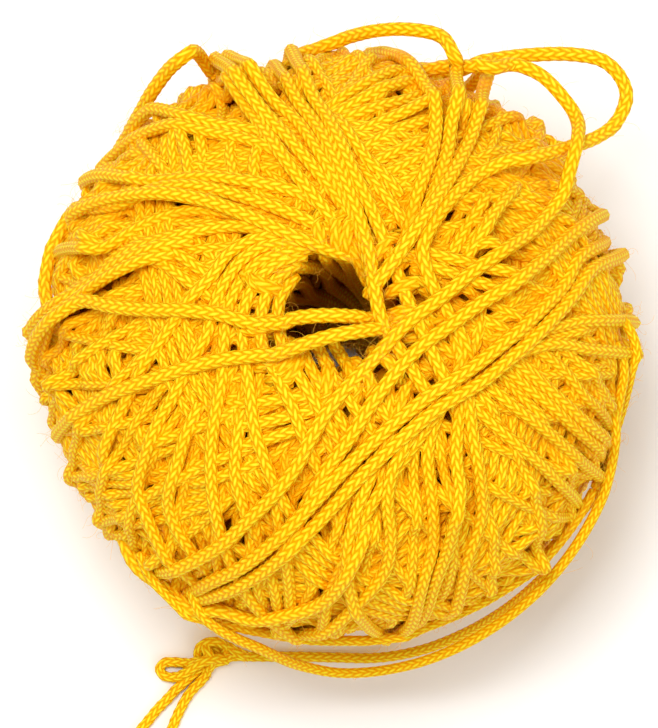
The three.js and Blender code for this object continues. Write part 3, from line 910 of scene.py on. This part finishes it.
# The wall is drawn in a little near its lower end.
DRAWN_IN, DRAWN_HEIGHT, DRAWN_REACH = 1.9, 6.0, 5.0


def hole_wall():
    """Strands on screw lines down the hole: angle = start + twist times height, at the hole's
    radius and a cord's radius more, then over the rim on an arc of a circle that is lowered
    towards its outer end, where the turns cover it."""
    tubes = Tubes()
    chance = np.random.default_rng(5)
    for layer, twist in enumerate(WALL_TWISTS):
        inset = (1 + LAYER_STEP * layer) * CORD_RADIUS
        arc = np.radians(np.linspace(*RIM_ARC, RIM_POINTS))
        lower = np.clip(np.cos(arc) + RIM_LOWERED, 0, 1)
        level = RIM_LEVEL + (RIM_RADIUS - inset - lower) * np.cos(arc)
        up = RIM_HEIGHT + (RIM_RADIUS - inset - lower) * np.sin(arc)
        height = np.linspace(WALL_LOW, RIM_HEIGHT, WALL_POINTS)[:-1]
        drawn = DRAWN_IN * np.exp(-((height - DRAWN_HEIGHT) / DRAWN_REACH) ** 2)
        level = np.concatenate([HOLE_RADIUS + inset - drawn, level])
        up = np.concatenate([height, up])
        for number in range(WALL_STRANDS):
            start = 2 * np.pi * (number + chance.uniform(-0.2, 0.2)) / WALL_STRANDS
            wave = 0.1 * np.sin(up * chance.uniform(0.1, 0.2) + start)
            angle = start + wave + twist * chance.uniform(0.8, 1.2) * up / RIM_HEIGHT
            line = np.stack([level * np.cos(angle), level * np.sin(angle), up], axis=1)
            line = at_even_steps(line, PLAIN_STEP)
            inward = np.column_stack([-line[:, 0], -line[:, 1], 0 * line[:, 0]])
            inward += UP * np.where(line[:, 2:] > RIM_HEIGHT, 8.0, 0.0)
            # Every strand of the wall gets half of the painted deep shade.
            tubes.add(line, CORD_RADIUS, unit(inward), depth=0.5, phase=chance.uniform(0, PHASES))
    return part_of_ball(tubes, "hole_wall")


def closed_surface(name, grid):
    """A closed ring-shaped surface from a grid of points that wraps round both ways."""
    rows, columns = grid.shape[:2]
    i, j = np.meshgrid(np.arange(rows), np.arange(columns), indexing="ij")
    i2, j2 = (i + 1) % rows, (j + 1) % columns
    quads = np.stack([i * columns + j, i * columns + j2, i2 * columns + j2, i2 * columns + j], -1)
    mesh = bpy.data.meshes.new(name)
    mesh.from_pydata((grid.reshape(-1, 3) * MM).tolist(), [], quads.reshape(-1, 4).tolist())
    mesh.polygons.foreach_set("use_smooth", np.ones(len(mesh.polygons), bool))
    made = bpy.data.objects.new(name, mesh)
    bpy.context.scene.collection.objects.link(made)
    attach(made, "root")
    return made


# The core's inset under the ball's form, the polar angles that it spans, its points along the
# outside and the tube and round the axis, and the tube's wall in radii of the cord.
CORE_INSET = 5.2
CORE_SPAN = (20, 160)
CORE_POINTS, TUBE_POINTS, ROUND_POINTS = 50, 20, 96
TUBE_WALL = 3.4


def packed_core():
    """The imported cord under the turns, as one form: the ball's reach less an inset outside, and
    a tube round the hole inside."""
    polar = np.radians(np.linspace(*CORE_SPAN, CORE_POINTS))
    way = np.stack([np.sin(polar), 0 * polar, np.cos(polar)], axis=1)
    reach = reach_of(way) - CORE_INSET
    outer = np.stack([way[:, 0] * reach, CENTRE_HEIGHT + way[:, 2] * reach], axis=1)
    tube = np.full(TUBE_POINTS, HOLE_RADIUS + TUBE_WALL * CORD_RADIUS)
    inner = np.stack([tube, np.linspace(outer[-1, 1], outer[0, 1], TUBE_POINTS)], axis=1)
    profile = np.concatenate([outer, inner])
    angle = np.linspace(0, 2 * np.pi, ROUND_POINTS, endpoint=False)
    x = profile[:, :1] * np.cos(angle)
    y = profile[:, :1] * np.sin(angle)
    z = np.broadcast_to(profile[:, 1:], x.shape)
    made = closed_surface("packed_core", np.stack([x, y, z], axis=-1))
    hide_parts("wound_ball")
    return made


wall = hole_wall()
core = packed_core()

# The knot: three lengths of cord, [across, down] in pixels of the picture and the height in mm.
KNOT_CORDS = [
    [[229, 663, 1.3], [218, 668, 1.3], [208, 670, 0.9], [199, 667, 0.8], [195, 660, 1.2],
     [199, 652, 1.9], [208, 648, 2.2], [217, 649, 2.0], [223, 654, 1.5], [222, 662, 0.9],
     [214, 669, 0.7], [205, 673, 0.7], [197, 675, 0.8], [189, 682, 0.7], [179, 691, 0.68],
     [170, 699, 0.68]],
    [[203, 683, 0.68], [205, 677, 0.9], [209, 670, 1.8], [207, 662, 2.5], [203, 655, 2.3],
     [204, 651, 1.2], [212, 655, 0.7], [217, 663, 0.7], [208, 668, 1.1], [197, 668, 1.7],
     [185, 670, 1.0], [171, 669, 0.68], [160, 670, 0.68], [156, 677, 0.68], [161, 683, 0.68],
     [172, 684, 0.9], [182, 680, 1.5], [192, 673, 2.1], [203, 667, 2.6], [214, 665, 2.1],
     [225, 667, 1.2]],
    [[219, 650, 1.2], [227, 654, 1.5], [236, 659, 1.6], [247, 664, 1.0]],
]


def knot_line(places):
    """The centreline of one of the knot's cords."""
    height = [place[2] for place in places]
    return tie_line(np.column_stack([from_pixels(places), height]))


knot = tie_piece("tie_knot", [knot_line(places) for places in KNOT_CORDS])


def declare_cord(line):
    """Works out the length, in metres, of a loose cord's centreline, and keeps nothing."""
    float(lengths_along(line)[-1])


declare_cord(lead_line)
declare_cord(left_line)
declare_cord(right_line)


FIBRES, FIBRE_CHOICES = 2400, 60000
FIBRE_RINGS, FIBRE_RADIUS, FIBRE_STEP = 8, 0.022, 0.42
TRIANGLE = (0.0, 2 * math.pi / 3, 4 * math.pi / 3)
# Where the hairs stand: a band near the outline, by the cosine to the line of sight; a ring at
# the mouth, by the degrees from the axis; and evenly all over.
EDGE_COSINE, EDGE_WIDTH = 0.12, 0.2
MOUTH_ANGLE, MOUTH_WIDTH, MOUTH_SHARE = 13, 3, 8
EVEN_SHARE = 0.12


def fibres():
    """Fine curly hairs that stand off the cord: near the outline as seen along the line of sight,
    round the hole's rim, and a few all over. A hair starts on the ball and each next place is a
    step on in a direction that turns at a steady rate of its own."""
    chance = np.random.default_rng(29)
    way = unit(chance.normal(size=(FIBRE_CHOICES, 3)))
    polar = np.degrees(np.arccos(way[:, 2]))
    edge = np.exp(-((way @ PICTURE_NEAR - EDGE_COSINE) / EDGE_WIDTH) ** 2)
    mouth = np.exp(-((polar - MOUTH_ANGLE) / MOUTH_WIDTH) ** 2)
    weight = edge + MOUTH_SHARE * mouth + EVEN_SHARE
    way = way[chance.choice(len(way), FIBRES, replace=False, p=weight / weight.sum())]
    start = CENTRE + way * (winding.reach(cell_of(way)) - 0.15)[:, None]
    aside = unit(np.cross(way, chance.normal(size=way.shape)))
    heading = unit(way * chance.uniform(0.1, 0.8, (FIBRES, 1)) + aside)
    spin = unit(chance.normal(size=way.shape)) * chance.uniform(0.1, 0.75, (FIBRES, 1))
    step = FIBRE_STEP * chance.uniform(0.5, 1.25, (FIBRES, 1))
    places = [start]
    for _ in range(FIBRE_RINGS - 1):
        places.append(places[-1] + heading * step)
        heading = unit(heading + np.cross(spin, heading) - 0.03 * way)
    line = np.stack(places, axis=1)
    line[..., 2] = np.maximum(line[..., 2], 2 * FIBRE_RADIUS)
    tangent = unit(np.gradient(line, axis=1))
    across = unit(np.cross(tangent, way[:, None, :] + 0.01))
    third = np.cross(tangent, across)
    taper = np.linspace(1, 0.5, FIBRE_RINGS)[None, :, None] * FIBRE_RADIUS
    corners = [line + taper * (math.cos(a) * across + math.sin(a) * third) for a in TRIANGLE]
    points = np.stack(corners, axis=2)
    number = np.arange(FIBRES)[:, None, None] * FIBRE_RINGS * 3
    i, j = np.meshgrid(np.arange(FIBRE_RINGS - 1), np.arange(3), indexing="ij")
    sides = np.stack([i * 3 + j, i * 3 + (j + 1) % 3, i * 3 + 3 + (j + 1) % 3, i * 3 + 3 + j], -1)
    quads = (number[..., None] + sides[None]).reshape(-1, 4)
    last = (FIBRE_RINGS - 1) * 3
    caps = number[:, 0] + np.array([[2, 1, 0, last, last + 1, last + 2]])
    mesh = bpy.data.meshes.new("fibres")
    mesh.from_pydata((points.reshape(-1, 3) * MM).tolist(), [],
                     quads.tolist() + caps.reshape(-1, 3).tolist())
    made = bpy.data.objects.new("fibres", mesh)
    bpy.context.scene.collection.objects.link(made)
    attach(made, "root")
    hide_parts("wound_ball")
    return made


hairs = fibres()


class Wire:
    """An output in a shader graph that works in Python sums: each operator adds a Math node."""

    def __init__(self, graph, socket):
        self.graph, self.socket = graph, socket

    def __add__(self, other):
        return self.graph.maths("ADD", self, other)

    def __radd__(self, other):
        return self.graph.maths("ADD", other, self)

    def __sub__(self, other):
        return self.graph.maths("SUBTRACT", self, other)

    def __rsub__(self, other):
        return self.graph.maths("SUBTRACT", other, self)

    def __mul__(self, other):
        return self.graph.maths("MULTIPLY", self, other)

    def __rmul__(self, other):
        return self.graph.maths("MULTIPLY", other, self)

    def __truediv__(self, other):
        return self.graph.maths("DIVIDE", self, other)

    def __rtruediv__(self, other):
        return self.graph.maths("DIVIDE", other, self)

    def __pow__(self, other):
        return self.graph.maths("POWER", self, other)


class Graph:
    """A material's shader graph."""

    def __init__(self, name):
        self.material = bpy.data.materials.new(name)
        self.material.use_nodes = True
        self.tree = self.material.node_tree
        self.tree.nodes.clear()

    def node(self, kind, settings=None, sockets=None, output=0):
        """Adds a node: its settings first, then its sockets' values or links."""
        made = self.tree.nodes.new(kind)
        for key, value in (settings or {}).items():
            setattr(made, key, value)
        for key, value in (sockets or {}).items():
            if isinstance(value, Wire):
                self.tree.links.new(value.socket, made.inputs[key])
            else:
                made.inputs[key].default_value = value
        return Wire(self, made.outputs[output]) if len(made.outputs) else made

    def parts(self, vector):
        """The first two parts of a vector."""
        first = self.node("ShaderNodeSeparateXYZ", {}, {0: vector})
        return first, Wire(self, first.socket.node.outputs[1])

    def maths(self, operation, *values):
        """A Math node."""
        return self.node("ShaderNodeMath", {"operation": operation}, dict(enumerate(values)))

    def clamped(self, value):
        """A value kept between 0 and 1."""
        return self.node("ShaderNodeMath", {"operation": "ADD", "use_clamp": True}, {0: value, 1: 0.0})

    def mix(self, share, first, second):
        """A colour between two colours."""
        return self.node("ShaderNodeMix", {"data_type": "RGBA"}, {0: share, 6: first, 7: second}, 2)

    def noise(self, vector, scale, detail=2.0):
        """Noise between 0 and 1."""
        return self.node("ShaderNodeTexNoise", {}, {"Vector": vector, "Scale": scale, "Detail": detail})

    def finish(self, constants, colour, height=None, distance=0.0):
        """The surface: constants on its sockets, a colour, and a bump for its normal."""
        sockets = {**constants, "Base Color": colour}
        if height is not None:
            bump = {"Height": height, "Distance": distance, "Strength": 1.0}
            sockets["Normal"] = self.node("ShaderNodeBump", {}, bump)
        surface = self.node("ShaderNodeBsdfPrincipled", {}, sockets)
        self.node("ShaderNodeOutputMaterial", {}, {"Surface": surface})
        return self.material


# A grain's half width, half length and lean on the plait's map, and the cord's colours: a
# painted highlight on a grain's crest, its body, painted shade in the gap between grains, and
# painted shade on cord that lies deep.
GRAIN_WIDTH, GRAIN_LENGTH, GRAIN_TILT = 0.47, 0.66, 0.66
BUMP_HEIGHT = 0.0001
CREST_HIGHLIGHT = (1.0, 0.9, 0.035, 1.0)
BODY = (0.98, 0.52, 0.0005, 1.0)
GAP_SHADE = (0.97, 0.36, 0.001, 1.0)
DEEP_SHADE_COLOUR = (1.0, 0.42, 0.001, 1.0)


def plaited_cord(name):
    """Plaited cotton. On the plait's map, u counts repeats along the cord and v its strands. A
    strand's middle is at each whole v, and every other strand is moved by half a repeat. A grain
    is an oval dome, 1 - (across / width)^2 - (along / length)^2, whose long axis leans to one
    side on the even strands and to the other on the odd ones. The surface is the highest of the
    grains of the nearest strand and of its two neighbours."""
    g = Graph(name)
    u, v = g.parts(g.node("ShaderNodeUVMap", {"uv_map": "plait"}))
    nearest = g.maths("FLOOR", v + 0.5)
    dome, threads_at = None, None
    for beside in (0.0, 1.0, -1.0):
        column = nearest + beside
        odd = g.maths("FLOORED_MODULO", column, 2.0)
        along = g.maths("FRACT", u + odd * 0.5 + 0.5) - 0.5
        across = v - column - (odd * 2.0 - 1.0) * GRAIN_TILT * along
        grain = 1.0 - (across / GRAIN_WIDTH) ** 2.0 - (along / GRAIN_LENGTH) ** 2.0
        if dome is None:
            dome = grain
            places = {0: along * 1.5 + u * 0.35, 1: across * 6.0, 2: column * 3.7}
            threads_at = g.node("ShaderNodeCombineXYZ", {}, places)
        else:
            dome = g.maths("MAXIMUM", dome, grain)
    threads = g.noise(threads_at, 1.0, 2.0) - 0.5
    soft = g.noise(g.node("ShaderNodeTexCoord", output=3), 180.0)
    painted_shade = g.node("ShaderNodeAttribute", {"attribute_name": "depth"}, output=2)
    height = g.clamped(dome)
    # Painted highlight: a paler yellow streak along each grain's crest, varied by noise.
    light = g.clamped(height * 1.9 - 0.9 + threads * 1.3)
    # Painted shade: the low ground between the grains is darker orange than a grain's body.
    colour = g.mix(g.clamped(height * 2.2 + 0.2 + threads * 0.6), GAP_SHADE, BODY)
    colour = g.mix(light * (0.6 + 0.5 * soft), colour, CREST_HIGHLIGHT)
    # Painted shade: cord that lies deep under the others is darker orange.
    colour = g.mix(g.clamped(painted_shade * 0.5), colour, DEEP_SHADE_COLOUR)
    constants = {"Roughness": 0.5, "Specular IOR Level": 0.05}
    return g.finish(constants, colour, g.maths("SQRT", height) + threads * 0.3, BUMP_HEIGHT)


def plain_fibre(name, colour, darker, scale):
    """A material that varies softly between two colours."""
    g = Graph(name)
    places = g.node("ShaderNodeTexCoord", output=3)
    soft = g.noise(places, scale)
    constants = {"Roughness": 0.8, "Specular IOR Level": 0.02}
    return g.finish(constants, g.mix(soft, colour, darker), soft, 2 * BUMP_HEIGHT)


cord_finish = plaited_cord("plaited_cotton")
tie_finish = plaited_cord("plaited_tie")
# The packed core has the painted deep shade of the cord, darker orange than the cord's body.
shaded_core_finish = plain_fibre("packed_cotton", (1.0, 0.42, 0.002, 1), (0.95, 0.3, 0.001, 1), 600.0)
hair_finish = plain_fibre("loose_fibres", (1.0, 0.62, 0.08, 1), (0.9, 0.4, 0.02, 1), 300.0)
for made in [*turns, *strands, wall]:
    made.data.materials.append(cord_finish)
for made in [tie_lead, tie_left, tie_right, knot]:
    made.data.materials.append(tie_finish)
core.data.materials.append(shaded_core_finish)
hairs.data.materials.append(hair_finish)
for name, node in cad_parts.items():
    node.data.materials.clear()
    node.data.materials.append(tie_finish if name.startswith("tie") else cord_finish)


def add_floor():
    """A wide pale floor under the ball."""
    half = 3.0
    mesh = bpy.data.meshes.new("floor")
    corners = [(-half, -half, 0), (half, -half, 0), (half, half, 0), (-half, half, 0)]
    mesh.from_pydata(corners, [], [(0, 1, 2, 3)])
    floor = bpy.data.objects.new("floor", mesh)
    bpy.context.scene.collection.objects.link(floor)
    g = Graph("pale_floor")
    floor.data.materials.append(g.finish({"Roughness": 0.9}, (0.97, 0.97, 0.97, 1)))


def add_light(name, place, size, power):
    """A square soft light that faces the middle of the ball."""
    data = bpy.data.lights.new(name, "AREA")
    data.shape, data.size, data.energy = "SQUARE", size, power
    light = bpy.data.objects.new(name, data)
    light.location = place
    aim = Vector(place) - Vector((0, 0, CENTRE_HEIGHT * MM))
    light.rotation_euler = aim.to_track_quat("Z", "Y").to_euler()
    bpy.context.scene.collection.objects.link(light)


add_floor()
add_light("overhead_light", (-0.12, 0.1, 1.0), 0.35, 6.6)
add_light("front_light", (0.5, -0.5, 0.7), 0.5, 1.2)
world = bpy.data.worlds.new("studio")
world.use_nodes = True
background = world.node_tree.nodes["Background"]
background.inputs["Color"].default_value = (1.0, 1.0, 1.0, 1.0)
background.inputs["Strength"].default_value = 0.58
bpy.context.scene.world = world
bpy.context.scene.view_settings.view_transform = "Standard"
